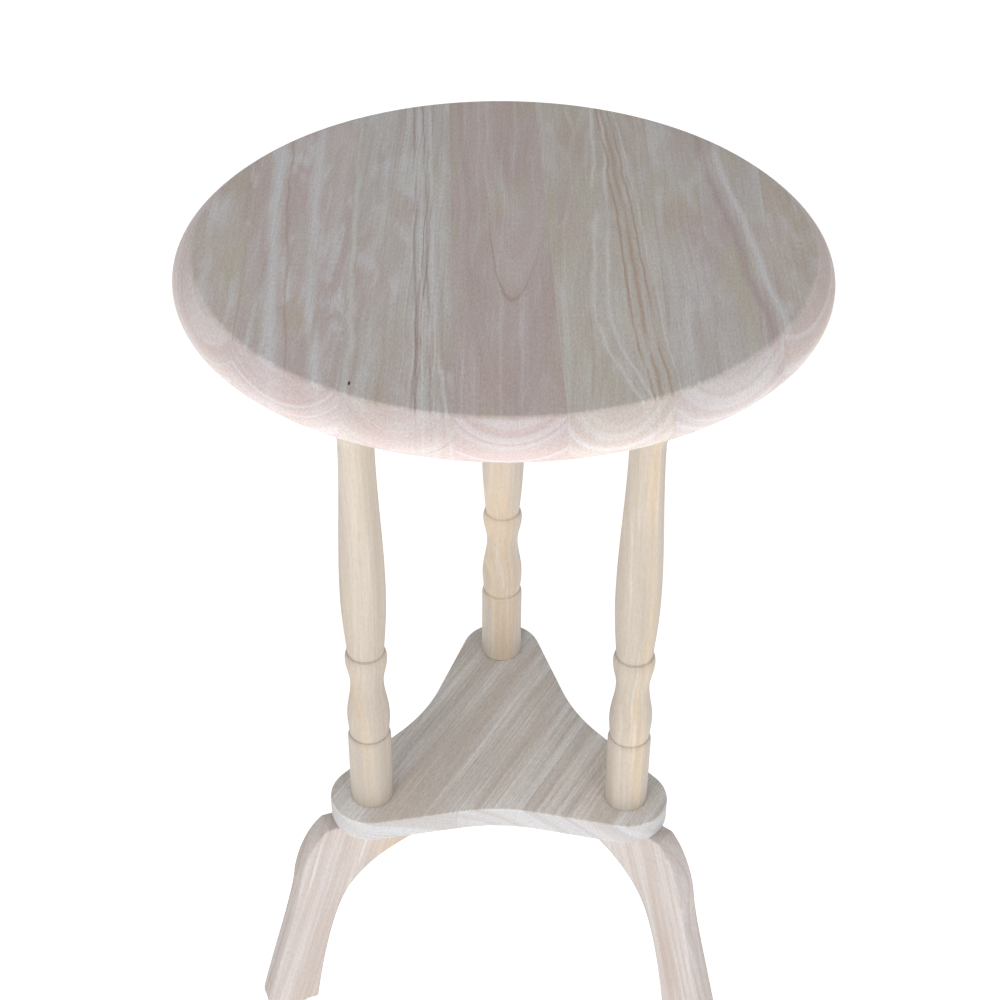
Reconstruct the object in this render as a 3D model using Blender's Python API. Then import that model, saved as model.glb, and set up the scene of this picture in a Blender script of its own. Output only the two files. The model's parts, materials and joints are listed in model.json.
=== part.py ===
"""Tilt top table: round top on a three-legged turned stand, with the top hinged on a block.

Metres, +Z up. The origin is on the floor, on the stand's axis. The front of the table is -Y.
"""

import math

import bmesh
import bpy
from mathutils import Matrix, Vector

MM = 0.001
GAP = 0.3 * MM  # clearance between pieces that touch

# Driving sizes
HEIGHT = 711 * MM
TOP_RADIUS = 228.6 * MM
TOP_THICKNESS = 26.5 * MM
TOP_FLAT_RADIUS = 213.5 * MM
SHELF_TOP = 227 * MM
BOARD_THICKNESS = 20 * MM  # shelf, upper plate, legs and bearers are cut from one stock

# Three-lobed boards
SPINDLE_CIRCLE = 119.3 * MM
LOBE_RADIUS = 34 * MM
THROAT = 76.3 * MM  # axis to the middle of each hollow side
HOLLOW_RADIUS = 150 * MM
EDGE_EASE = 1.5 * MM
LOBE_ANGLES = {"rear": 90, "front_left": 210, "front_right": 330}
LEG_TWIST = -9  # degrees that each leg stands off its lobe's own direction

# Tilting head
BLOCK_HEIGHT = 30 * MM
BLOCK_HALF_WIDTH = 50 * MM
BLOCK_REAR = 70 * MM
PIVOT_Y = -79 * MM
PIVOT_SCREW_RADIUS = 2.5 * MM
WASHER_THICKNESS = 0.9 * MM
BEARER_REAR = 160 * MM
BEARER_NOSE = 14 * MM

# Spring catch
BOLT_HALF_WIDTH = 4 * MM
BOLT_HALF_HEIGHT = 3 * MM
BOLT_TRAVEL = 9 * MM
STRIKE_THICKNESS = 1.2 * MM
CASE_WALL = 3 * MM
CASE_LENGTH = 40 * MM
CASE_HEIGHT = 15 * MM
FLANGE = 1.5 * MM

# Hardware
GLIDE_RADIUS = 9 * MM
GLIDE_HEIGHT = 5 * MM
HANGER_RADIUS = 3 * MM
DOWEL_RADIUS = 4 * MM
TENON_RADIUS = 10 * MM
TENON_LENGTH = 12 * MM
SPINDLE_SEGMENTS = 20
SCREW_SEGMENTS = 10
TOP_SEGMENTS = 72

# Levels that follow
UNDERSIDE = HEIGHT - TOP_THICKNESS
BLOCK_TOP = UNDERSIDE - 0.5 * MM
BLOCK_BOTTOM = BLOCK_TOP - BLOCK_HEIGHT
PLATE_TOP = BLOCK_BOTTOM - GAP
PLATE_BOTTOM = PLATE_TOP - BOARD_THICKNESS
SHELF_BOTTOM = SHELF_TOP - BOARD_THICKNESS
PIVOT_Z = (BLOCK_TOP + BLOCK_BOTTOM) / 2
SPINDLE_BASE = SHELF_TOP + GAP
SPINDLE_LENGTH = PLATE_BOTTOM - GAP - SPINDLE_BASE
LEG_TOP = SHELF_BOTTOM - GAP
LEG_FOOT = GLIDE_HEIGHT + GAP
BEARER_TOP = UNDERSIDE - GAP
BEARER_BOTTOM = PIVOT_Z - BEARER_NOSE
BEARER_INNER = BLOCK_HALF_WIDTH + WASHER_THICKNESS + 2 * GAP
BEARER_OUTER = BEARER_INNER + BOARD_THICKNESS
CATCH_Z = UNDERSIDE - GAP - CASE_HEIGHT / 2 - 1.2 * MM
CASE_FRONT = BLOCK_REAR + 3.5 * MM
CASE_REAR = CASE_FRONT + CASE_LENGTH
BOLT_TIP = BLOCK_REAR + STRIKE_THICKNESS + GAP + 1 * MM - BOLT_TRAVEL
BOLT_SHOULDER = CASE_REAR - CASE_WALL - 17.5 * MM
Y_AXIS = Matrix.Rotation(-math.pi / 2, 4, "X")  # turns +Z to +Y
# An outline's own x, y and depth laid along Y, Z and X, and along X, Z and Y.
FROM_SIDE = Matrix(((0, 0, 1, 0), (1, 0, 0, 0), (0, 1, 0, 0), (0, 0, 0, 1)))
FROM_FRONT = Matrix(((1, 0, 0, 0), (0, 0, 1, 0), (0, 1, 0, 0), (0, 0, 0, 1)))
X_AXIS = Matrix.Rotation(math.pi / 2, 4, "Y")  # turns +Z to +X
DOWN = Matrix.Rotation(math.pi, 4, "X")


# ---------------------------------------------------------------- materials
def material(name, color, roughness, metallic=0.0):
    mat = bpy.data.materials.new(name)
    mat.use_nodes = True
    shader = mat.node_tree.nodes["Principled BSDF"]
    shader.inputs["Base Color"].default_value = (*color, 1.0)
    shader.inputs["Roughness"].default_value = roughness
    shader.inputs["Metallic"].default_value = metallic
    return mat


def make_materials():
    return {
        "top_wood": material("top_wood", (0.52, 0.44, 0.38), 0.55),
        "turned_wood": material("turned_wood", (0.72, 0.60, 0.46), 0.6),
        "board_wood": material("board_wood", (0.58, 0.49, 0.42), 0.6),
        "leg_wood": material("leg_wood", (0.66, 0.56, 0.49), 0.6),
        "hidden_wood": material("hidden_wood", (0.62, 0.52, 0.42), 0.65),
        "brass": material("brass", (0.72, 0.52, 0.22), 0.35, 1.0),
        "steel": material("steel", (0.58, 0.58, 0.60), 0.35, 1.0),
        "glide": material("glide", (0.62, 0.60, 0.56), 0.5),
    }


# ---------------------------------------------------------------- mesh helpers
def finish_mesh(bm, name, mat, matrix=None, smooth_angle=None):
    """Close a bmesh into one named object; the matrix places it in the world."""
    bmesh.ops.remove_doubles(bm, verts=bm.verts, dist=1e-7)
    bmesh.ops.recalc_face_normals(bm, faces=bm.faces)
    mesh = bpy.data.meshes.new(name)
    bm.to_mesh(mesh)
    bm.free()
    if smooth_angle is not None:
        mesh.shade_smooth()
        mesh.set_sharp_from_angle(angle=math.radians(smooth_angle))
    obj = bpy.data.objects.new(name, mesh)
    bpy.context.scene.collection.objects.link(obj)
    if mat is not None:
        mesh.materials.append(mat)
    if matrix is not None:
        obj.matrix_world = matrix
    return obj


def add_lathe(bm, profile, segments, matrix=None):
    """Spin a profile of (radius, height) points, from axis to axis, about Z."""
    before = set(bm.verts)
    verts = [bm.verts.new((r, 0, z)) for r, z in profile]
    edges = [bm.edges.new(pair) for pair in zip(verts, verts[1:])]
    bmesh.ops.spin(
        bm, geom=verts + edges, cent=(0, 0, 0), axis=(0, 0, 1),
        angle=2 * math.pi, steps=segments, use_merge=True,
    )
    if matrix is not None:
        turned = [v for v in bm.verts if v not in before]
        bmesh.ops.transform(bm, matrix=matrix, verts=turned)


def lathe(name, profile, segments, mat, matrix=None, smooth_angle=35):
    bm = bmesh.new()
    add_lathe(bm, profile, segments)
    return finish_mesh(bm, name, mat, matrix, smooth_angle)


def add_prism(bm, outline, low, high, matrix=None):
    """Extrude a closed (x, y) outline from low to high along Z."""
    base = bm.faces.new([bm.verts.new((x, y, low)) for x, y in outline])
    out = bmesh.ops.extrude_face_region(bm, geom=[base])
    lifted = [v for v in out["geom"] if isinstance(v, bmesh.types.BMVert)]
    bmesh.ops.translate(bm, verts=lifted, vec=(0, 0, high - low))
    if matrix is not None:
        bmesh.ops.transform(bm, matrix=matrix, verts=list(base.verts) + lifted)


def prism(name, outline, low, high, mat, matrix=None, ease=0.0, smooth_angle=None):
    bm = bmesh.new()
    add_prism(bm, outline, low, high)
    obj = finish_mesh(bm, name, mat, matrix, smooth_angle)
    if ease:
        bevel = obj.modifiers.new("eased_edges", "BEVEL")
        bevel.width = ease
        bevel.segments = 1
        bevel.limit_method = "ANGLE"
        bevel.angle_limit = math.radians(50)
    return obj


def rectangle(x0, x1, y0, y1):
    return [(x0, y0), (x1, y0), (x1, y1), (x0, y1)]


def cylinder_profile(radius, low, high):
    return [(0, low), (radius, low), (radius, high), (0, high)]


def cut(obj, name, shapes):
    """Cut the shapes, given as functions that fill a bmesh, out of obj."""
    bm = bmesh.new()
    for shape in shapes:
        shape(bm)
    cutter = finish_mesh(bm, name, None)
    cutter.hide_render = True
    cutter.display_type = "WIRE"
    boolean = obj.modifiers.new(name, "BOOLEAN")
    boolean.operation = "DIFFERENCE"
    boolean.solver = "EXACT"
    boolean.object = cutter


def hole(radius, low, high, matrix, segments=SCREW_SEGMENTS):
    return lambda bm: add_lathe(bm, cylinder_profile(radius, low, high), segments, matrix)


def countersunk_hole(radius, head_radius, head_depth, length, matrix):
    """A hole along +Z from the surface at 0, with a cone at its mouth."""
    wide = head_radius + GAP
    profile = [(0, -MM), (wide + MM, -MM), (wide, 0), (radius, head_depth), (radius, length), (0, length)]
    return lambda bm: add_lathe(bm, profile, SCREW_SEGMENTS, matrix)


# ---------------------------------------------------------------- outlines
def arc(center, radius, start, end, steps):
    cx, cy = center
    angles = [math.radians(start + (end - start) * i / steps) for i in range(steps + 1)]
    return [(cx + radius * math.cos(a), cy + radius * math.sin(a)) for a in angles]


def bezier(p0, p1, p2, p3, steps):
    """Points after p0 along a cubic curve, p3 included."""
    points = []
    for i in range(1, steps + 1):
        t = i / steps
        w = ((1 - t) ** 3, 3 * t * (1 - t) ** 2, 3 * t * t * (1 - t), t ** 3)
        points.append(tuple(sum(k * p[axis] for k, p in zip(w, (p0, p1, p2, p3))) for axis in (0, 1)))
    return points


def trefoil():
    """Round lobes on the spindle centres, joined by straight runs to hollow sides."""
    away = THROAT + HOLLOW_RADIUS
    hollow = Vector((away * math.cos(math.radians(60)), away * math.sin(math.radians(60))))
    between = hollow - Vector((SPINDLE_CIRCLE, 0))
    lean = math.degrees(math.acos((LOBE_RADIUS + HOLLOW_RADIUS) / between.length))
    normal = math.degrees(math.atan2(between.y, between.x)) - lean
    sweep = 60 - normal  # half of the hollow's arc is what the tangent leaves of 60 degrees
    points = []
    for lobe in LOBE_ANGLES.values():
        a = math.radians(lobe)
        center = (SPINDLE_CIRCLE * math.cos(a), SPINDLE_CIRCLE * math.sin(a))
        points += arc(center, LOBE_RADIUS, lobe - normal, lobe + normal, 10)
        b = math.radians(lobe + 60)
        far = (away * math.cos(b), away * math.sin(b))
        back = lobe + 60 + 180
        points += arc(far, HOLLOW_RADIUS, back - sweep, back + sweep, 6)
    return points


def top_profile():
    """Half section of the top: flat face, long convex bevel, full side, small under-round."""
    low, high = UNDERSIDE, HEIGHT
    widest = (TOP_RADIUS, low + 8 * MM)
    crest = (TOP_FLAT_RADIUS, high)
    foot = (TOP_RADIUS - 5 * MM, low)
    side = bezier(crest, (219 * MM, high - 4 * MM), (TOP_RADIUS, low + 16 * MM), widest, 5)
    under = bezier(widest, (TOP_RADIUS, low + 4 * MM), (TOP_RADIUS - 2 * MM, low), foot, 2)
    return [(0, high), crest] + side + under + [(0, low)]


# Each turning is (height, radius, shape of the run up to it), in millimetres from the shoulder
# that stands on the shelf. "full" is a convex quarter round that falls to the new radius,
# "rise" a convex quarter that starts sharply and swells to it, "ogee" a soft S between the two.
SPINDLE_TURNINGS = (
    (66.0, 17.2, "line"),
    (69.6, 16.2, "full"),
    (70.2, 14.9, "line"),
    (71.4, 15.6, "line"),
    (89.0, 16.9, "rise"),
    (124.0, 13.1, "ogee"),
    (149.0, 16.4, "ogee"),
    (154.4, 15.4, "full"),
    (155.2, 13.8, "line"),
    (156.6, 14.3, "line"),
    (215.0, 17.4, "rise"),
    (354.0, 13.2, "ogee"),
    (369.0, 16.4, "ogee"),
    (374.4, 15.4, "full"),
    (375.2, 13.9, "line"),
    (376.4, 15.4, "line"),
    (381.0, 17.2, "rise"),
)
RUN_STEPS = {"line": 1, "full": 2, "rise": 3, "ogee": 4}


def run_share(shape, u):
    if shape == "full":
        return 1 - math.cos(u * math.pi / 2)
    if shape == "rise":
        return math.sin(u * math.pi / 2)
    if shape == "ogee":
        return (1 - math.cos(u * math.pi)) / 2
    return u


def spindle_profile():
    """Outer profile, tenon to tenon, with a bore at each end for its fastener."""
    bottom_bore = 41 * MM
    top_bore = 34 * MM
    length = SPINDLE_LENGTH
    bore = HANGER_RADIUS + GAP
    screw_bore = 2 * MM + GAP
    base_radius = 17.2 * MM
    profile = [(0, bottom_bore), (bore, bottom_bore), (bore, -TENON_LENGTH)]
    profile += [(TENON_RADIUS, -TENON_LENGTH), (TENON_RADIUS, 0), (base_radius, 0)]
    height, radius = 0.0, base_radius
    for end_mm, end_radius_mm, shape in SPINDLE_TURNINGS:
        end, end_radius = end_mm * MM, end_radius_mm * MM
        steps = RUN_STEPS[shape]
        for i in range(1, steps + 1):
            share = run_share(shape, i / steps)
            profile.append((radius + (end_radius - radius) * share, height + (end - height) * i / steps))
        height, radius = end, end_radius
    profile += [(radius, length), (TENON_RADIUS, length), (TENON_RADIUS, length + TENON_LENGTH)]
    profile += [(screw_bore, length + TENON_LENGTH), (screw_bore, length - top_bore)]
    profile += [(0, length - top_bore)]
    return profile


def leg_outline():
    """Side view of a leg: distance outward from its lobe's centre, and height."""
    p = lambda out, up: (out * MM, up * MM)
    toe = (95 * MM, LEG_FOOT)
    heel = (60 * MM, LEG_FOOT)
    knee, ankle = p(68.7, 147), p(103, 16)
    arch, crotch = p(25, 136), p(-23, 173)
    shoulder = (41 * MM, LEG_TOP)
    inner_top = (-58 * MM, LEG_TOP)
    inner_low = p(-58, 182)
    points = [inner_top, inner_low]
    points += bezier(inner_low, p(-50, 181), p(-35, 177.5), crotch, 4)
    points += bezier(crotch, p(-7, 166), p(10.5, 157), arch, 6)
    points += bezier(arch, p(42, 112), p(53, 50), heel, 10)
    points.append(toe)
    points += bezier(toe, p(101, 5.3), p(104.5, 9.5), ankle, 4)
    points += bezier(ankle, p(92, 60), p(72, 122), knee, 9)
    points += bezier(knee, p(66, 172), p(54, 198), shoulder, 8)
    return points


# ---------------------------------------------------------------- hardware
def screw(name, head_radius, head_depth, shank, length, mat, matrix, pointed=True):
    """Countersunk screw along +Z with its head flush at 0."""
    tip = 3 * shank if pointed else 0.5 * shank
    profile = [(0, 0.3 * MM), (0.4 * head_radius, 0.3 * MM), (0.4 * head_radius, 0), (head_radius, 0)]
    profile += [(shank, head_depth), (shank, length - tip), (0.25 * shank, length), (0, length)]
    return lathe(name, profile, SCREW_SEGMENTS, mat, matrix)


def rod(name, radius, low, high, mat, matrix):
    ease = radius / 4
    profile = [(0, low), (radius - ease, low), (radius, low + ease), (radius, high - ease)]
    profile += [(radius - ease, high), (0, high)]
    return lathe(name, profile, SCREW_SEGMENTS + 2, mat, matrix)


def coil(name, coil_radius, wire_radius, turns, length, mat, matrix):
    """Compression spring along +Z: one tube swept along a helix and capped."""
    sides, per_turn = 4, 10
    steps = turns * per_turn
    rise = (length - 2 * wire_radius) / steps
    bm = bmesh.new()
    rings = []
    for i in range(steps + 1):
        turn = 2 * math.pi * i / per_turn
        out = Vector((math.cos(turn), math.sin(turn), 0))
        center = out * coil_radius + Vector((0, 0, wire_radius + rise * i))
        ring = []
        for k in range(sides):
            a = 2 * math.pi * k / sides
            around = out * (wire_radius * math.cos(a)) + Vector((0, 0, wire_radius * math.sin(a)))
            ring.append(bm.verts.new(center + around))
        rings.append(ring)
    for near, far in zip(rings, rings[1:]):
        for k in range(sides):
            j = (k + 1) % sides
            bm.faces.new((near[k], near[j], far[j], far[k]))
    bm.faces.new(rings[0])
    bm.faces.new(rings[-1])
    return finish_mesh(bm, name, mat, matrix, 40)


# ---------------------------------------------------------------- places
def at(x, y, z, turn=None):
    place = Matrix.Translation((x, y, z))
    return place @ turn if turn is not None else place


def lobe_center(side, z, turn=None):
    a = math.radians(LOBE_ANGLES[side])
    return at(SPINDLE_CIRCLE * math.cos(a), SPINDLE_CIRCLE * math.sin(a), z, turn)


def leg_frame(side):
    """Local +X runs outward along the leg from its lobe's centre, +Z is up."""
    return lobe_center(side, 0, Matrix.Rotation(math.radians(LOBE_ANGLES[side] + LEG_TWIST), 4, "Z"))


DOWEL_OUT = -38 * MM
GLIDE_OUT = 75.5 * MM
BLOCK_SCREWS = [(x * MM, y * MM) for x in (-30, 30) for y in (-48, 46)]
BEARER_SCREW_Y = [y * MM for y in (-45, 50, 140)]
CATCH_SCREWS = [(x * MM, CASE_FRONT + y * MM) for x in (-15, 15) for y in (8, 32)]
STRIKE_SCREW_X = 12 * MM
WOOD_SCREW = {"head_radius": 4 * MM, "head_depth": 3 * MM, "shank": 2 * MM}
SMALL_SCREW = {"head_radius": 2.6 * MM, "head_depth": 1.2 * MM, "shank": 1.2 * MM}


def bearer_screw_places():
    for side, sign in (("left", -1), ("right", 1)):
        x = sign * (BEARER_INNER + BEARER_OUTER) / 2
        for number, y in enumerate(BEARER_SCREW_Y, 1):
            yield f"bearer_screw_{side}_{number}", at(x, y, BEARER_BOTTOM)


# ---------------------------------------------------------------- the stand
def build_legs(mats):
    upright = Matrix.Rotation(math.pi / 2, 4, "X")  # the outline's second axis becomes up
    for side in LOBE_ANGLES:
        frame = leg_frame(side)
        half = BOARD_THICKNESS / 2
        leg = prism(
            f"leg_{side}", leg_outline(), -half, half, mats["leg_wood"],
            frame @ upright, ease=EDGE_EASE, smooth_angle=40,
        )
        holes = [
            hole(HANGER_RADIUS + GAP, LEG_TOP - 24 * MM, LEG_TOP + MM, frame),
            hole(DOWEL_RADIUS + GAP, LEG_TOP - 13 * MM, LEG_TOP + MM, frame @ at(DOWEL_OUT, 0, 0)),
            hole(2 * MM + GAP, LEG_FOOT - MM, LEG_FOOT + 13 * MM, frame @ at(GLIDE_OUT, 0, 0)),
        ]
        cut(leg, f"cut_leg_{side}", holes)
        rod(f"leg_dowel_{side}", DOWEL_RADIUS, LEG_TOP - 12.5 * MM, SHELF_BOTTOM + 9.5 * MM,
            mats["turned_wood"], frame @ at(DOWEL_OUT, 0, 0))
        rod(f"hanger_bolt_{side}", HANGER_RADIUS, LEG_TOP - 23.5 * MM, SPINDLE_BASE + 40 * MM,
            mats["steel"], lobe_center(side, 0))
        glide = [(0, 0), (GLIDE_RADIUS - 1.5 * MM, 0), (GLIDE_RADIUS, 1.5 * MM)]
        glide += [(GLIDE_RADIUS, GLIDE_HEIGHT), (2 * MM, GLIDE_HEIGHT)]
        glide += [(1.5 * MM, GLIDE_HEIGHT + 12 * MM), (0, GLIDE_HEIGHT + 12 * MM)]
        lathe(f"foot_glide_{side}", glide, 16, mats["glide"], frame @ at(GLIDE_OUT, 0, 0))


def build_shelf(mats):
    shelf = prism("shelf", trefoil(), SHELF_BOTTOM, SHELF_TOP, mats["board_wood"],
                  ease=EDGE_EASE, smooth_angle=40)
    holes = []
    for side in LOBE_ANGLES:
        center = lobe_center(side, 0)
        dowel = leg_frame(side) @ at(DOWEL_OUT, 0, 0)
        holes += [
            hole(TENON_RADIUS + GAP, SHELF_TOP - TENON_LENGTH - GAP, SHELF_TOP + MM, center, 16),
            hole(HANGER_RADIUS + GAP, SHELF_BOTTOM - MM, SHELF_TOP - MM, center),
            hole(DOWEL_RADIUS + GAP, SHELF_BOTTOM - MM, SHELF_BOTTOM + 10 * MM, dowel),
        ]
    cut_in_turn(shelf, "cut_shelf", holes)


def cut_in_turn(obj, name, holes):
    """Cutters that overlap each other go into separate Booleans."""
    for number in range(3):
        cut(obj, f"{name}_{number}", holes[number::3])


def build_spindles(mats):
    for side in LOBE_ANGLES:
        lathe(f"spindle_{side}", spindle_profile(), SPINDLE_SEGMENTS, mats["turned_wood"],
              lobe_center(side, SPINDLE_BASE))


def build_upper_plate(mats):
    plate = prism("upper_plate", trefoil(), PLATE_BOTTOM, PLATE_TOP, mats["board_wood"],
                  ease=EDGE_EASE, smooth_angle=40)
    sockets = []
    screw_holes = []
    for side in LOBE_ANGLES:
        center = lobe_center(side, 0)
        socket_top = PLATE_BOTTOM + TENON_LENGTH + GAP
        sockets.append(hole(TENON_RADIUS + GAP, PLATE_BOTTOM - MM, socket_top, center, 16))
        place = lobe_center(side, PLATE_TOP, DOWN)
        deep = BOARD_THICKNESS - 6 * MM
        screw_holes.append(countersunk_hole(2 * MM + GAP, 4 * MM, 3 * MM, deep, place))
        screw(f"spindle_screw_{side}", length=38 * MM, mat=mats["steel"], matrix=place, **WOOD_SCREW)
    for number, (x, y) in enumerate(BLOCK_SCREWS, 1):
        place = at(x, y, PLATE_BOTTOM)
        deep = BOARD_THICKNESS + MM
        screw_holes.append(countersunk_hole(2 * MM + GAP, 4 * MM, 3 * MM, deep, place))
        screw(f"block_screw_{number}", length=42 * MM, mat=mats["steel"], matrix=place, **WOOD_SCREW)
    cut(plate, "cut_plate_sockets", sockets)
    cut(plate, "cut_plate_screws", screw_holes)


def build_pivot_block(mats):
    """The block's front is a half round about the pivot, so the top rolls over it."""
    nose = arc((PIVOT_Y, PIVOT_Z), BLOCK_HEIGHT / 2, 90, 270, 12)
    outline = nose + [(BLOCK_REAR, BLOCK_BOTTOM), (BLOCK_REAR, BLOCK_TOP)]
    block = prism("pivot_block", outline, -BLOCK_HALF_WIDTH, BLOCK_HALF_WIDTH, mats["hidden_wood"],
                  FROM_SIDE, smooth_angle=30)
    holes = []
    for x, y in BLOCK_SCREWS:
        holes.append(hole(2 * MM + GAP, BLOCK_BOTTOM - MM, PLATE_BOTTOM + 43 * MM, at(x, y, 0)))
    pilot = 29 * MM
    for sign in (-1, 1):
        place = at(sign * BLOCK_HALF_WIDTH, PIVOT_Y, PIVOT_Z, X_AXIS)
        low, high = sorted((0, -sign * pilot))
        holes.append(hole(PIVOT_SCREW_RADIUS + GAP, low - MM, high + MM, place))
        place = at(sign * STRIKE_SCREW_X, BLOCK_REAR, CATCH_Z, Y_AXIS)
        holes.append(hole(1.2 * MM + GAP, -13 * MM, MM, place))
    room = BOLT_HALF_WIDTH + 0.7 * MM
    pocket = rectangle(-room, room, BOLT_TIP - 2 * MM, BLOCK_REAR + MM)
    reach = BOLT_HALF_HEIGHT + 0.7 * MM
    holes.append(lambda bm: add_prism(bm, pocket, CATCH_Z - reach, CATCH_Z + reach))
    cut(block, "cut_block", holes)


def build_strike_plate(mats):
    front = BLOCK_REAR + GAP
    wide, tall = 17 * MM, 7 * MM
    plate = prism("strike_plate", rectangle(-wide, wide, front, front + STRIKE_THICKNESS),
                  CATCH_Z - tall, CATCH_Z + tall, mats["brass"])
    room = 0.4 * MM
    slot_half = BOLT_HALF_WIDTH + room
    slot = rectangle(-slot_half, slot_half, front - MM, front + 3 * MM)
    reach = BOLT_HALF_HEIGHT + room
    holes = [lambda bm: add_prism(bm, slot, CATCH_Z - reach, CATCH_Z + reach)]
    toward_block = Matrix.Rotation(math.pi / 2, 4, "X")
    for side, sign in (("left", -1), ("right", 1)):
        place = at(sign * STRIKE_SCREW_X, front + STRIKE_THICKNESS, CATCH_Z, toward_block)
        shank_room = SMALL_SCREW["shank"] + GAP
        holes.append(countersunk_hole(shank_room, SMALL_SCREW["head_radius"], 1.1 * MM, 4 * MM, place))
        screw(f"strike_screw_{side}", length=12 * MM, mat=mats["brass"], matrix=place, **SMALL_SCREW)
    cut(plate, "cut_strike", holes)


def build_pivot_pins(mats):
    """Large round-head screws: each is fast in the block and free in its bearer."""
    head = 4 * MM
    for side, sign in (("left", -1), ("right", 1)):
        inward = Matrix.Rotation(-sign * math.pi / 2, 4, "Y")
        place = at(sign * (BEARER_OUTER + GAP), PIVOT_Y, PIVOT_Z, inward)
        profile = [(0, -head), (3 * MM, -0.85 * head), (5 * MM, -0.4 * head), (5.5 * MM, 0)]
        length = BEARER_OUTER - BLOCK_HALF_WIDTH + 27 * MM
        profile += [(PIVOT_SCREW_RADIUS, 0), (PIVOT_SCREW_RADIUS, length - 6 * MM)]
        profile += [(0.5 * MM, length), (0, length)]
        lathe(f"pivot_screw_{side}", profile, 14, mats["brass"], place)
        washer = [(PIVOT_SCREW_RADIUS + GAP, 0), (7 * MM, 0), (7 * MM, WASHER_THICKNESS)]
        washer += [(PIVOT_SCREW_RADIUS + GAP, WASHER_THICKNESS), (PIVOT_SCREW_RADIUS + GAP, 0)]
        outward = Matrix.Rotation(sign * math.pi / 2, 4, "Y")
        place = at(sign * (BLOCK_HALF_WIDTH + GAP), PIVOT_Y, PIVOT_Z, outward)
        lathe(f"pivot_washer_{side}", washer, 16, mats["brass"], place)


# ---------------------------------------------------------------- the top
def build_tabletop(mats):
    top = lathe("tabletop", top_profile(), TOP_SEGMENTS, mats["top_wood"])
    holes = [hole(2 * MM + GAP, 0, 47 * MM, place, 8) for _, place in bearer_screw_places()]
    shank_room = SMALL_SCREW["shank"] + GAP
    for x, y in CATCH_SCREWS:
        holes.append(hole(shank_room, UNDERSIDE - MM, UNDERSIDE + 12 * MM, at(x, y, 0), 8))
    cut(top, "cut_top", holes)


def build_bearers(mats):
    """Battens whose front ends are rounded about the pivot."""
    front = PIVOT_Y - BEARER_NOSE
    outline = [(front, BEARER_TOP)]
    outline += arc((PIVOT_Y, PIVOT_Z), BEARER_NOSE, 180, 270, 8)
    slope = 10 * MM
    outline += [(BEARER_REAR - slope, BEARER_BOTTOM), (BEARER_REAR, BEARER_BOTTOM + slope)]
    outline.append((BEARER_REAR, BEARER_TOP))
    for side, sign in (("left", -1), ("right", 1)):
        low, high = sorted((sign * BEARER_INNER, sign * BEARER_OUTER))
        bearer = prism(f"bearer_{side}", outline, low, high, mats["hidden_wood"], FROM_SIDE,
                       smooth_angle=30)
        middle = at((low + high) / 2, PIVOT_Y, PIVOT_Z, X_AXIS)
        holes = [hole(PIVOT_SCREW_RADIUS + GAP, -12 * MM, 12 * MM, middle, 14)]
        for name, place in bearer_screw_places():
            if side in name:
                holes.append(countersunk_hole(2 * MM + GAP, 4 * MM, 3 * MM, 32 * MM, place))
        cut(bearer, f"cut_bearer_{side}", holes)
    for name, place in bearer_screw_places():
        screw(name, length=45 * MM, mat=mats["steel"], matrix=place, **WOOD_SCREW)


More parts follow.
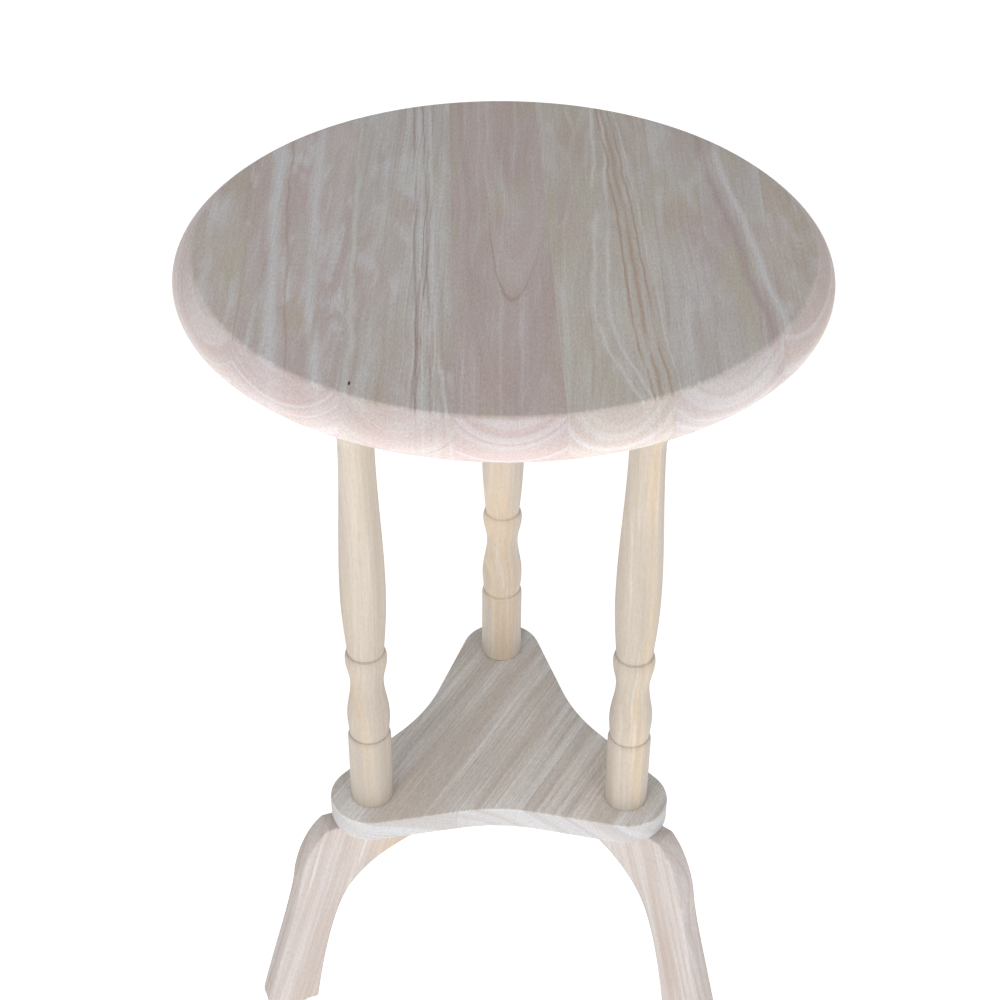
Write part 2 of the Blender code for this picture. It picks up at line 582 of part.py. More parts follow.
def build_catch(mats):
    """Spring bolt in a case under the top; its nose sits in the block's strike."""
    top = UNDERSIDE - GAP
    half = 10 * MM
    flange = 20 * MM
    bm = bmesh.new()
    section = [(-flange, top), (-flange, top - FLANGE)]
    section += [(-half, top - FLANGE), (-half, top - CASE_HEIGHT)]
    section += [(-x, z) for x, z in reversed(section)]
    add_prism(bm, section, CASE_FRONT, CASE_REAR, FROM_FRONT)
    case = finish_mesh(bm, "catch_case", mats["brass"])
    wide = BOLT_HALF_WIDTH + GAP
    channel = rectangle(-wide, wide, CASE_FRONT - MM, CASE_REAR - CASE_WALL)
    reach = BOLT_HALF_HEIGHT + GAP
    stem_radius = 1.5 * MM
    stem = at(0, CASE_REAR, CATCH_Z, Y_AXIS)
    cut(case, "cut_case_channel", [lambda bm: add_prism(bm, channel, CATCH_Z - reach, CATCH_Z + reach)])
    cut(case, "cut_case_stem", [hole(stem_radius + GAP, -CASE_WALL - MM, MM, stem)])
    screw_places = [at(x, y, top - FLANGE) for x, y in CATCH_SCREWS]
    head_radius = SMALL_SCREW["head_radius"]
    shank_room = SMALL_SCREW["shank"] + GAP
    sinks = [countersunk_hole(shank_room, head_radius, 1.2 * MM, FLANGE + GAP, p) for p in screw_places]
    cut(case, "cut_case_screws", sinks)
    for number, place in enumerate(screw_places, 1):
        screw(f"catch_screw_{number}", length=12 * MM, mat=mats["brass"], matrix=place, **SMALL_SCREW)

    overlap = 2 * MM
    knob_start = CASE_REAR + 1.5 * MM - BOLT_SHOULDER
    bolt_profile = [(0, -overlap), (stem_radius, -overlap), (stem_radius, knob_start)]
    bolt_profile += [(3 * MM, knob_start), (4.5 * MM, knob_start + 4 * MM)]
    bolt_profile += [(5 * MM, knob_start + 8 * MM), (4 * MM, knob_start + 10 * MM)]
    bolt_profile += [(0, knob_start + 10.6 * MM)]
    nose = 3 * MM
    low, high = CATCH_Z - BOLT_HALF_HEIGHT, CATCH_Z + BOLT_HALF_HEIGHT
    bar = [(BOLT_TIP, high), (BOLT_TIP, CATCH_Z), (BOLT_TIP + nose, low)]
    bar += [(BOLT_SHOULDER, low), (BOLT_SHOULDER, high)]
    bolt = prism("catch_bolt", bar, -BOLT_HALF_WIDTH, BOLT_HALF_WIDTH, mats["brass"],
                 FROM_SIDE, smooth_angle=30)
    bm = bmesh.new()
    add_lathe(bm, bolt_profile, 14, at(0, BOLT_SHOULDER, CATCH_Z, Y_AXIS))
    stem_object = finish_mesh(bm, "bolt_stem_union", None)
    stem_object.hide_render = True
    stem_object.display_type = "WIRE"
    union = bolt.modifiers.new("stem_and_knob", "BOOLEAN")
    union.operation = "UNION"
    union.solver = "EXACT"
    union.object = stem_object
    coil_length = CASE_REAR - CASE_WALL - BOLT_SHOULDER - 2 * GAP
    coil("catch_spring", 2.3 * MM, 0.35 * MM, 6, coil_length, mats["steel"],
         at(0, BOLT_SHOULDER + GAP, CATCH_Z, Y_AXIS))


def main():
    for obj in list(bpy.data.objects):
        bpy.data.objects.remove(obj, do_unlink=True)
    mats = make_materials()
    build_legs(mats)
    build_shelf(mats)
    build_spindles(mats)
    build_upper_plate(mats)
    build_pivot_block(mats)
    build_strike_plate(mats)
    build_pivot_pins(mats)
    build_tabletop(mats)
    build_bearers(mats)
    build_catch(mats)


main()
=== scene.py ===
"""Looks of the tilt top table: fine meshes and wood, brass and steel materials around the CAD frame.

Metres, +Z up, front of the table at -Y. Material patterns are worked out in millimetres.
"""

import json
import math

import bmesh
import bpy
from mathutils import Matrix, Vector


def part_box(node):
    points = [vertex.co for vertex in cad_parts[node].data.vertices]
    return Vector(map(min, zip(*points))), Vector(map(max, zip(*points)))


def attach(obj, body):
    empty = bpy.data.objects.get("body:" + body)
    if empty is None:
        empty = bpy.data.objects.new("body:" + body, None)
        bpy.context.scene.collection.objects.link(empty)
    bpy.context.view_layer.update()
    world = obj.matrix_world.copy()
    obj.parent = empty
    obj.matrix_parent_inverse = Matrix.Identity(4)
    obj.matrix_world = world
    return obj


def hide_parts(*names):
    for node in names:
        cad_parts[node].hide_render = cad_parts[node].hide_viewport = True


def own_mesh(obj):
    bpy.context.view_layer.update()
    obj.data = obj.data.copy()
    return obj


MM = 0.001
GAP = 0.3 * MM  # clearance between neighbouring pieces

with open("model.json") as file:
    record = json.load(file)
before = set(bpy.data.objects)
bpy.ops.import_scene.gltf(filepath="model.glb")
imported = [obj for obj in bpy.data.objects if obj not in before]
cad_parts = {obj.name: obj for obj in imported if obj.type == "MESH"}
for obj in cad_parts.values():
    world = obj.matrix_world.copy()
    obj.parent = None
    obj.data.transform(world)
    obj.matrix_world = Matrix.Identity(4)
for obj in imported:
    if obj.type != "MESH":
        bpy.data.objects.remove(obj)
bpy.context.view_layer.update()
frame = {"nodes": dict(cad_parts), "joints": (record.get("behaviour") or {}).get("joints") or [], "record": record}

SIDES = ("rear", "front_left", "front_right")


# ---------------------------------------------------------------- sizes read from the frame
def middle(node):
    low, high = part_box(node)
    return (low + high) / 2


top_low, top_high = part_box("tabletop")
UNDERSIDE, TOP_Z = top_low.z, top_high.z
TOP_RADIUS = (top_high.x - top_low.x) / 2
shelf_low, shelf_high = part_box("shelf")
plate_low, plate_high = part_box("upper_plate")
block_low, block_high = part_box("pivot_block")
LOBES = {side: middle(f"spindle_{side}").to_2d() for side in SIDES}
SPINDLE_CIRCLE = LOBES["rear"].length
SPINDLE_BASE = shelf_high.z + GAP
SPINDLE_LENGTH = plate_low.z - GAP - SPINDLE_BASE
joints = {joint["name"]: joint for joint in frame["joints"]}
PIVOT = Vector(joints["top_tilt"]["pos_m"])
TENON_RADIUS = 10 * MM


# ---------------------------------------------------------------- node trees written as sums
class Field:
    """One value in a material's node tree; arithmetic on it adds Math nodes."""

    def __init__(self, tree, socket):
        self.tree = tree
        self.socket = socket

    def __add__(self, other):
        return calc("ADD", self, other)

    def __sub__(self, other):
        return calc("SUBTRACT", self, other)

    def __rsub__(self, other):
        return calc("SUBTRACT", other, self, tree=self.tree)

    def __mul__(self, other):
        return calc("MULTIPLY", self, other)

    def __truediv__(self, other):
        return calc("DIVIDE", self, other)

    __radd__ = __add__
    __rmul__ = __mul__


def plug(tree, value, target):
    if isinstance(value, Field):
        tree.links.new(value.socket, target)
    else:
        target.default_value = value


def calc(operation, *values, tree=None):
    tree = tree or values[0].tree
    node = tree.nodes.new("ShaderNodeMath")
    node.operation = operation
    for value, target in zip(values, node.inputs):
        plug(tree, value, target)
    return Field(tree, node.outputs[0])


def absolute(value):
    return calc("ABSOLUTE", value)


def length2(x, y):
    return calc("SQRT", x * x + y * y)


def smooth(value, low, high):
    """0 below low, 1 above high, and a smooth rise between; low may be above high."""
    node = value.tree.nodes.new("ShaderNodeMapRange")
    node.interpolation_type = "SMOOTHSTEP"
    node.inputs["From Min"].default_value = low
    node.inputs["From Max"].default_value = high
    plug(value.tree, value, node.inputs["Value"])
    return Field(value.tree, node.outputs[0])


def ridge(value, width):
    """1 where value is 0, falling to 0 at width to either side."""
    return smooth(absolute(value), width, 0.0)


def combine(x, y, z):
    tree = next(v.tree for v in (x, y, z) if isinstance(v, Field))
    node = tree.nodes.new("ShaderNodeCombineXYZ")
    for value, target in zip((x, y, z), node.inputs):
        plug(tree, value, target)
    return Field(tree, node.outputs[0])


def separate(vector):
    node = vector.tree.nodes.new("ShaderNodeSeparateXYZ")
    plug(vector.tree, vector, node.inputs[0])
    return [Field(vector.tree, out) for out in node.outputs]


def noise(x, y, z, detail=2.0, roughness=0.5, distortion=0.0):
    """Noise of about 0.2 to 0.8 with features one unit across."""
    vector = combine(x, y, z)
    node = vector.tree.nodes.new("ShaderNodeTexNoise")
    node.inputs["Scale"].default_value = 1.0
    node.inputs["Detail"].default_value = detail
    node.inputs["Roughness"].default_value = roughness
    node.inputs["Distortion"].default_value = distortion
    plug(vector.tree, vector, node.inputs["Vector"])
    return Field(vector.tree, node.outputs[0])


def blend(share, first, second, mode="MIX"):
    """Colour mix of two colours, given as Fields or as (r, g, b)."""
    tree = next(v.tree for v in (share, first, second) if isinstance(v, Field))
    node = tree.nodes.new("ShaderNodeMix")
    node.data_type = "RGBA"
    node.blend_type = mode
    plug(tree, share, node.inputs["Factor"])
    for value, target in ((first, node.inputs[6]), (second, node.inputs[7])):
        plug(tree, value if isinstance(value, Field) else (*value, 1.0), target)
    return Field(tree, node.outputs[2])


def new_material(name):
    mat = bpy.data.materials.new(name)
    mat.use_nodes = True
    tree = mat.node_tree
    shader = tree.nodes["Principled BSDF"]
    coords = tree.nodes.new("ShaderNodeTexCoord")
    return mat, tree, shader, Field(tree, coords.outputs["Object"])


def add_bump(tree, shader, height, strength, distance):
    bump = tree.nodes.new("ShaderNodeBump")
    bump.inputs["Strength"].default_value = strength
    bump.inputs["Distance"].default_value = distance
    plug(tree, height, bump.inputs["Height"])
    tree.links.new(bump.outputs[0], shader.inputs["Normal"])


# ---------------------------------------------------------------- wood
PALE_STREAK = (0.85, 0.85, 0.87)
DARK_LINE = (0.36, 0.27, 0.25)
KNOT = (0.07, 0.05, 0.045)


def board_axes(coords, along, across, origin):
    """Millimetres across the board, through it, and along its grain."""
    along = Vector(along).normalized()
    across = Vector(across)
    across = (across - along * across.dot(along)).normalized()
    through = along.cross(across)
    result = []
    for axis in (across, through, along):
        node = coords.tree.nodes.new("ShaderNodeVectorMath")
        node.operation = "DOT_PRODUCT"
        plug(coords.tree, coords, node.inputs[0])
        node.inputs[1].default_value = axis * 1000
        result.append(Field(coords.tree, node.outputs["Value"]) - axis.dot(Vector(origin)) * 1000)
    return result


def fibre(across, through, along, seed):
    """Fine straight fibres and open pores: (soft fibre tone, pore mask)."""
    strands = noise(across / 0.9 + seed, through / 0.9, along / 70, detail=4, roughness=0.65)
    pores = noise(across / 0.32 + seed * 3, through / 0.32, along / 7, detail=1)
    return strands, smooth(pores, 0.64, 0.74)


def growth(across, through, along, pith, rise, seed, waver=1.0):
    """Distance from a wandering pith: the growth rings' own coordinate, in millimetres."""
    wander = (noise(along / 160, seed, 3.1, detail=1) - 0.5) * (14 * waver)
    ripple = (noise(along / 34, seed, across / 60, detail=2) - 0.5) * (3 * waver)
    dx = across - pith[0] + wander + ripple
    dz = through - pith[1] + along * rise
    return length2(dx, dz)


def finish_wood(tree, shader, color, strands, pores, rings, roughness=0.58, coarse=1.0):
    color = blend(pores * (0.30 * coarse), color, (0.34, 0.26, 0.22))
    tree.links.new(color.socket, shader.inputs["Base Color"])
    rough = roughness + (strands - 0.5) * 0.22 + pores * 0.1
    tree.links.new(rough.socket, shader.inputs["Roughness"])
    shader.inputs["Specular IOR Level"].default_value = 0.28
    height = strands * 0.5 + rings * 0.25 - pores * 1.0
    add_bump(tree, shader, height, 0.35, 0.0002)


def plain_wood(name, along, across, origin, pith, light, dark, seed,
               band=6.0, contrast=1.0, pale=0.3, rise=0.02, waver=1.0,
               warm=(0.80, 0.62, 0.42), joint=None, edge=None, coarse=1.0, glow=0.22):
    """Wood of one board: ring bands between two tones, warm and pale streaks, fibre, pores.

    coarse is the strength of its dark fibres and pores, glow that of its warm streaks.
    joint is the distance, in millimetres, of an upright glue joint from the middle; boards differ there.
    edge is the colour by which the board's edge below the origin's level is multiplied, a painted shade that
    darkens and cools that band.
    """
    mat, tree, shader, coords = new_material(name)
    a, b, c = board_axes(coords, along, across, origin)
    hairline = None
    if joint is not None:
        beside = board_axes(coords, along, Vector(along).cross((0, 0, 1)), origin)[0] - joint
        a = a + calc("GREATER_THAN", beside, 0.0) * 37
        hairline = ridge(beside, 0.5)
    ring = growth(a, b, c, pith, rise, seed, waver)
    strands, pores = fibre(a, b, c, seed)
    broad = noise(ring / (band * 2.4), c / 420, seed, detail=2, roughness=0.6)
    fine = noise(ring / (band * 0.36), c / 300, seed + 9, detail=3, roughness=0.7)
    tone = smooth(broad * 0.62 + fine * 0.38, 0.5 - 0.17 / contrast, 0.5 + 0.17 / contrast)
    color = blend(tone, dark, light)
    warmth = smooth(noise(ring / (band * 3.4), c / 260, seed + 21, detail=2), 0.52, 0.70)
    color = blend(warmth * glow, color, warm)
    chalk = smooth(noise(ring / (band * 0.9), c / 180, seed + 33, detail=2), 0.60, 0.76)
    color = blend(chalk * pale, color, PALE_STREAK)
    late = smooth(noise(ring / (band * 0.22), c / 500, seed + 41, detail=1), 0.66, 0.80)
    color = blend(late * 0.14 * contrast, color, DARK_LINE)
    color = blend(smooth(strands, 0.38, 0.62) * (0.38 * coarse), color, tuple(0.84 * v for v in dark))
    wisps = smooth(noise(a / 2.2, b / 2.2, c / 120 + seed, detail=3, roughness=0.7), 0.52, 0.68)
    color = blend(wisps * (0.42 * coarse), color, tuple(0.78 * v for v in dark))
    if edge is not None:
        # Painted shade: the edge band below the face is multiplied by edge and pulled towards an even tone,
        # standing in for shade on that side.
        depth = separate(coords)[2] * 1000 - origin[2] * 1000
        edge_shade_mask = smooth(depth, -0.9, -1.9) * smooth(depth, -19.4, -18.4)
        color = blend(edge_shade_mask, color, blend(1.0, color, edge, "MULTIPLY"))
        even = tuple(e * (high + low) / 2 for e, high, low in zip(edge, light, dark))
        color = blend(edge_shade_mask * 0.4, color, even)
    if hairline is not None:
        color = blend(hairline * 0.45, color, tuple(0.6 * v for v in dark))
    color = speckle(color, a, b, c, 0.26 * coarse)
    finish_wood(tree, shader, color, strands, pores, tone, coarse=coarse)
    return mat


def speckle(color, across, through, along, amount=0.26):
    """Small uneven lightness of a sanded, unfinished surface."""
    grit = noise(across / 1.0, through / 1.0, along / 4.0, detail=3, roughness=0.7)
    shade = smooth(grit, 0.25, 0.75) * amount + (1 - amount / 2)
    return blend(1.0, color, combine(shade, shade, shade), "MULTIPLY")


# The glued-up top. Each stave: its left joint (x at the table's middle, and lean in x per y), its
# colour, its pith (x, height over the face, fall of that height per y) and (seed, chalkiness).
STAVES = (
    (None, 0.00, (0.734, 0.658, 0.615), (-200, 30, -0.04), (2.0, 0.70)),
    (-176, 0.03, (0.724, 0.649, 0.634), (-138, 36, 0.05), (5.3, 1.00)),
    (-106, 0.035, (0.734, 0.708, 0.679), (-66, 44, -0.05), (11.7, 0.75)),
    (-36, 0.04, (0.698, 0.595, 0.579), (8, 37.3, 0.05), (17.9, 0.20)),
    (31, 0.045, (0.724, 0.676, 0.615), (74, 40, -0.07), (23.1, 0.40)),
    (106, 0.005, (0.724, 0.689, 0.671), (150, 34, 0.03), (31.4, 0.40)),
    (183, -0.02, (0.715, 0.649, 0.597), (205, 42, 0.06), (43.8, 0.70)),
)
# Streaks that follow no ring: x at the table's middle, lean, bend towards the front, half width,
# strength and colour.
STREAKS = (
    (-158, -0.060, 0.0002, 8.0, 0.95, PALE_STREAK),
    (-149, -0.070, 0.0002, 1.6, 0.70, (0.60, 0.45, 0.42)),
    (-131, -0.050, 0.0006, 7.0, 0.85, PALE_STREAK),
    (-103, -0.040, 0.0, 3.2, 0.60, (0.86, 0.87, 0.84)),
    (-61, -0.050, 0.0, 1.6, 0.50, DARK_LINE),
    (-57, -0.050, 0.0, 1.4, 0.80, PALE_STREAK),
    (-53, -0.055, 0.0, 1.3, 0.45, DARK_LINE),
    (-49, -0.050, 0.0003, 2.2, 0.90, PALE_STREAK),
    (62, 0.020, 0.0015, 2.4, 0.80, (0.88, 0.87, 0.84)),
    (71, 0.015, 0.0014, 2.6, 0.80, (0.88, 0.87, 0.86)),
    (80, -0.050, 0.0002, 1.6, 0.85, (0.58, 0.41, 0.31)),
    (86, -0.060, 0.0, 2.6, 0.80, (0.60, 0.43, 0.33)),
    (92, -0.065, 0.0, 1.4, 0.80, (0.58, 0.41, 0.32)),
    (97, -0.070, 0.0, 1.3, 0.80, PALE_STREAK),
    (160, -0.110, 0.0, 5.5, 0.75, (0.58, 0.45, 0.46)),
    (171, -0.110, 0.0, 5.0, 0.85, PALE_STREAK),
)
HEART_RING = 41.3  # radius of the one dark ring in the middle stave


def top_wood():
    mat, tree, shader, coords = new_material("top_wood")
    x, z, y = board_axes(coords, (0, 1, 0), (1, 0, 0), (0, 0, TOP_Z))
    z = 0.0 - z
    steps = []
    hairline = None
    for at_x, lean, *_ in STAVES[1:]:
        offset = x + y * lean - at_x
        steps.append(calc("GREATER_THAN", offset, 0.0))
        line = ridge(offset, 0.35)
        hairline = line if hairline is None else calc("MAXIMUM", hairline, line)

    def by_stave(values):
        total = values[0]
        for step, before, after in zip(steps, values, values[1:]):
            total = step * (after - before) + total
        return total

    tint = combine(*[by_stave([s[2][i] for s in STAVES]) for i in range(3)])
    pith_x, pith_z, rise = [by_stave([s[3][i] for s in STAVES]) for i in range(3)]
    seed, chalkiness = [by_stave([s[4][i] for s in STAVES]) for i in range(2)]

    wander = (noise(y / 170, seed, 3.1, detail=1) - 0.5) * 16
    ripple = (noise(y / 36, seed, x / 70, detail=2) - 0.5) * 2.6
    across = x - pith_x + wander + ripple
    ring = length2(across, z - pith_z + y * rise)
    strands, pores = fibre(x, z, y, seed)

    broad = noise(ring / 15, y / 520, seed, detail=2, roughness=0.6)
    fine = noise(ring / 2.4, y / 420, seed + 9, detail=3, roughness=0.7)
    tone = smooth(broad * 0.6 + fine * 0.4, 0.34, 0.66)
    color = blend(tone, blend(1.0, tint, (0.91, 0.875, 0.87), "MULTIPLY"),
                  blend(1.0, tint, (1.06, 1.085, 1.075), "MULTIPLY"))
    face = smooth(z, -3.0, -0.2) * 0.75 + 0.25
    bevel = smooth(z, -0.6, -2.2) * smooth(z, -26.3, -24.0)
    olive = smooth(noise(x / 26, y / 90, seed + 50, detail=2), 0.50, 0.72)
    color = blend(olive * face * 0.60, color, (0.67, 0.64, 0.49))
    rosy = smooth(noise(x / 30 + 40, y / 120, seed + 60, detail=2), 0.50, 0.70)
    color = blend(rosy * 0.42, color, (0.66, 0.51, 0.465))
    cloud = noise(x / 13, y / 52, seed + 70, detail=3, roughness=0.5, distortion=0.6)
    color = blend(smooth(cloud, 0.48, 0.74) * chalkiness * face, color, PALE_STREAK)
    late = smooth(noise(ring / 1.6, y / 600, seed + 41, detail=1), 0.64, 0.80)
    color = blend(late * (bevel * 0.22 + 0.17), color, (0.42, 0.29, 0.26))
    bands = noise(ring / 4.2, y / 600, seed + 91, detail=1)
    color = blend(smooth(bands, 0.52, 0.62) * bevel * 0.50, color, PALE_STREAK)
    color = blend(smooth(bands, 0.47, 0.38) * bevel * 0.30, color, (0.70, 0.52, 0.50))
    pale_ring = smooth(noise(ring / 3.2, y / 700, seed + 77, detail=1), 0.64, 0.78)
    color = blend(pale_ring * (bevel * 0.30 + 0.36), color, PALE_STREAK)

    bow = (noise(y / 95, seed, 1.7, detail=1) - 0.5) * 11
    veins = noise((x + bow) / 3.6, y / 330, seed + 15, detail=3, roughness=0.6)
    color = blend(smooth(veins, 0.55, 0.72) * face * 0.36, color, (0.58, 0.46, 0.40))
    color = blend(smooth(veins, 0.46, 0.30) * face * 0.36, color, PALE_STREAK)
    comb = ridge(x + y * 0.05 + 57, 20) * face
    teeth = noise((x + bow) / 1.9, y / 500, 4.4, detail=2)
    color = blend(smooth(teeth, 0.55, 0.68) * comb * 0.95, color, (0.50, 0.37, 0.34))
    color = blend(smooth(teeth, 0.45, 0.34) * comb * 0.90, color, PALE_STREAK)

    break_up = smooth(noise(x / 9, y / 110, 8.8, detail=3), 0.30, 0.48)
    waver = (noise(y / 60, x / 90, 6.6, detail=2) - 0.5) * 9
    feather = noise(x / 1.3, y / 160, 12.1, detail=3, roughness=0.7)
    feather = smooth(feather, 0.20, 0.47)
    front = calc("MAXIMUM", -60.0 - y, 0.0, tree=tree)
    for at_x, lean, bend, half, strength, shade in STREAKS:
        path = x - y * lean - front * front * bend - at_x + waver
        color = blend(ridge(path, half) * break_up * feather * face * strength, color, shade)

    middle_stave = ridge(x, 36)
    heart = ridge(ring - HEART_RING, 0.30) * middle_stave
    color = blend(heart * 0.50, color, (0.45, 0.28, 0.20))
    color = blend(ridge(ring - (HEART_RING - 5.5), 2.2) * middle_stave * 0.35, color, PALE_STREAK)
    color = blend(smooth(strands, 0.38, 0.62) * face * 0.22, color, (0.55, 0.46, 0.42))
    saw = noise(x / 45, y / 1.1, 2.2, detail=1)
    color = blend(smooth(saw, 0.55, 0.72) * 0.10, color, (0.52, 0.45, 0.42))
    color = blend(hairline * 0.22, color, (0.46, 0.38, 0.33))
    # Painted light: the bevel is lightened and tinted pink, standing in for the warm front light falling on it.
    color = blend(bevel * 0.24, color, (0.88, 0.73, 0.74))
    color = speckle(color, x, z, y)
    knot = smooth(length2((x + 93.7) / 0.8, (y + 180) / 2.4), 1.3, 0.7)
    color = blend(knot * smooth(z, -5.0, -3.0) * 0.95, color, KNOT)
    finish_wood(tree, shader, color, strands, pores, tone)
    return mat


# ---------------------------------------------------------------- metal and plastic
def brushed_metal(name, color, roughness, along, wear=0.5):
    """Metal with fine brush lines along one axis, dull patches and small dents."""
    mat, tree, shader, coords = new_material(name)
    across = Vector(along).orthogonal()
    a, b, c = board_axes(coords, along, across, (0, 0, 0))
    lines = noise(a / 0.05, b / 0.05, c / 3.0, detail=3, roughness=0.7)
    patches = noise(a / 4.0, b / 4.0, c / 4.0, detail=3, roughness=0.6)
    tarnish = smooth(patches, 0.45, 0.75) * wear
    tone = blend(tarnish, color, tuple(0.55 * v for v in color))
    tree.links.new(tone.socket, shader.inputs["Base Color"])
    rough = roughness + (lines - 0.5) * 0.2 + tarnish * 0.2
    tree.links.new(rough.socket, shader.inputs["Roughness"])
    shader.inputs["Metallic"].default_value = 1.0
    add_bump(tree, shader, lines * 0.4 + patches * 0.6, 0.15, 0.00005)
    return mat


def moulded_plastic(name, color):
    mat, tree, shader, coords = new_material(name)
    x, y, z = separate(coords)
    grain = noise(x * 4000, y * 4000, z * 4000, detail=2)
    scuff = smooth(noise(x * 300, y * 300, z * 300, detail=3), 0.5, 0.75)
    tone = blend(scuff * 0.4, color, tuple(0.6 * v for v in color))
    tree.links.new(tone.socket, shader.inputs["Base Color"])
    rough = 0.42 + grain * 0.2 + scuff * 0.15
    tree.links.new(rough.socket, shader.inputs["Roughness"])
    add_bump(tree, shader, grain, 0.2, 0.00005)
    return mat


# ---------------------------------------------------------------- mesh helpers
def to_object(bm, name, mat, smooth_angle=35):
    bmesh.ops.remove_doubles(bm, verts=bm.verts, dist=1e-7)
    bmesh.ops.recalc_face_normals(bm, faces=bm.faces)
    mesh = bpy.data.meshes.new(name)
    bm.to_mesh(mesh)
    bm.free()
    mesh.shade_smooth()
    mesh.set_sharp_from_angle(angle=math.radians(smooth_angle))
    if mat is not None:
        mesh.materials.append(mat)
    obj = bpy.data.objects.new(name, mesh)
    bpy.context.scene.collection.objects.link(obj)
    return obj


def add_lathe(bm, profile, segments, matrix=None):
    """Turn a profile of (radius, height) points about Z; radius 0 makes one vertex."""
    matrix = matrix or Matrix.Identity(4)
    rings = []
    for radius, height in profile:
        if radius < 1e-9:
            rings.append([bm.verts.new(matrix @ Vector((0, 0, height)))])
            continue
        ring = []
        for k in range(segments):
            turn = 2 * math.pi * k / segments
            spot = Vector((radius * math.cos(turn), radius * math.sin(turn), height))
            ring.append(bm.verts.new(matrix @ spot))
        rings.append(ring)
    for low, high in zip(rings, rings[1:]):
        for k in range(segments):
            j = (k + 1) % segments
            corners = [low[k], low[j]] if len(low) > 1 else [low[0]]
            corners += [high[j], high[k]] if len(high) > 1 else [high[0]]
            if len(corners) > 2:
                bm.faces.new(corners)


def lathe(name, profile, segments, mat, matrix=None, smooth_angle=35):
    bm = bmesh.new()
    add_lathe(bm, profile, segments)
    obj = to_object(bm, name, mat, smooth_angle)
    if matrix is not None:
        obj.matrix_world = matrix
    return obj


def add_prism(bm, outline, low, high, matrix=None):
    base = bm.faces.new([bm.verts.new((x, y, low)) for x, y in outline])
    out = bmesh.ops.extrude_face_region(bm, geom=[base])
    lifted = [v for v in out["geom"] if isinstance(v, bmesh.types.BMVert)]
    bmesh.ops.translate(bm, verts=lifted, vec=(0, 0, high - low))
    if matrix is not None:
        bmesh.ops.transform(bm, matrix=matrix, verts=list(base.verts) + lifted)


def prism(name, outline, low, high, mat, matrix=None, ease=0.0, steps=3, smooth_angle=30):
    bm = bmesh.new()
    add_prism(bm, outline, low, high)
    obj = to_object(bm, name, mat, smooth_angle)
    if matrix is not None:
        obj.data.transform(matrix)
    if ease:
        bevel = obj.modifiers.new("eased_edges", "BEVEL")
        bevel.width = ease
        bevel.segments = steps
        bevel.limit_method = "ANGLE"
        bevel.angle_limit = math.radians(50)
    return obj


def cut(obj, *shapes, operation="DIFFERENCE"):
    """Cut shapes, given as functions that fill a bmesh, out of obj."""
    for number, shape in enumerate(shapes):
        bm = bmesh.new()
        shape(bm)
        cutter = to_object(bm, f"{obj.name}_cutter_{number}", None)
        boolean = obj.modifiers.new(f"cut_{number}", "BOOLEAN")
        boolean.operation = operation
        boolean.solver = "EXACT"
        boolean.object = cutter
    return obj


def settle(obj, smooth_angle=30):
    """Turn the modifiers into mesh, and remove the cutters."""
    graph = bpy.context.evaluated_depsgraph_get()
    mesh = bpy.data.meshes.new_from_object(obj.evaluated_get(graph))
    cutters = [m.object for m in obj.modifiers if m.type == "BOOLEAN"]
    obj.modifiers.clear()
    material = obj.data.materials[0] if obj.data.materials else None
    obj.data = mesh
    mesh.materials.clear()
    if material is not None:
        mesh.materials.append(material)
    for cutter in cutters:
        bpy.data.objects.remove(cutter, do_unlink=True)
    mesh.shade_smooth()
    mesh.set_sharp_from_angle(angle=math.radians(smooth_angle))
    return obj


def place(obj, body, slot, *nodes):
    """The piece rides on a body and stands for its CAD nodes, which it hides; slot, meant to name its finish, is
    not used.
    """
    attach(obj, body)
    if nodes:
        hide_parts(*nodes)
    return obj


# ---------------------------------------------------------------- outlines
def arc(center, radius, start, end, steps):
    cx, cy = center
    angles = [math.radians(start + (end - start) * i / steps) for i in range(steps + 1)]
    return [(cx + radius * math.cos(a), cy + radius * math.sin(a)) for a in angles]


def bezier(p0, p1, p2, p3, steps):
    points = []
    for i in range(1, steps + 1):
        t = i / steps
        w = ((1 - t) ** 3, 3 * t * (1 - t) ** 2, 3 * t * t * (1 - t), t ** 3)
        points.append(tuple(sum(k * p[axis] for k, p in zip(w, (p0, p1, p2, p3))) for axis in (0, 1)))
    return points


LOBE_RADIUS = 34 * MM
THROAT = 76.3 * MM
HOLLOW_RADIUS = 150 * MM


def trefoil():
    away = THROAT + HOLLOW_RADIUS
    hollow = Vector((away * math.cos(math.radians(60)), away * math.sin(math.radians(60))))
    between = hollow - Vector((SPINDLE_CIRCLE, 0))
    lean = math.degrees(math.acos((LOBE_RADIUS + HOLLOW_RADIUS) / between.length))
    normal = math.degrees(math.atan2(between.y, between.x)) - lean
    sweep = 60 - normal
    points = []
    for side in SIDES:
        lobe = math.degrees(math.atan2(LOBES[side].y, LOBES[side].x))
        points += arc(LOBES[side], LOBE_RADIUS, lobe - normal, lobe + normal, 48)
        b = math.radians(lobe + 60)
        far = (away * math.cos(b), away * math.sin(b))
        points += arc(far, HOLLOW_RADIUS, lobe + 240 - sweep, lobe + 240 + sweep, 24)
    return points


def top_profile():
    low, high = UNDERSIDE, TOP_Z
    widest = (TOP_RADIUS, low + 8 * MM)
    crest = (TOP_RADIUS - 15.1 * MM, high)
    foot = (TOP_RADIUS - 5 * MM, low)
    flat = [(share * crest[0], high) for share in (0, 0.2, 0.4, 0.6, 0.8, 0.95)]
    side = bezier(crest, (219 * MM, high - 4 * MM), (TOP_RADIUS, low + 16 * MM), widest, 24)
    crest = (crest[0] - 1.2 * MM, high)
    side = bezier(crest, (crest[0] + MM, high), side[0], side[1], 8)[:-1] + side[1:]
    under = bezier(widest, (TOP_RADIUS, low + 4 * MM), (TOP_RADIUS - 2 * MM, low), foot, 10)
    back = [(share * foot[0], low) for share in (0.9, 0.6, 0.3, 0)]
    return flat + [crest] + side + under + back


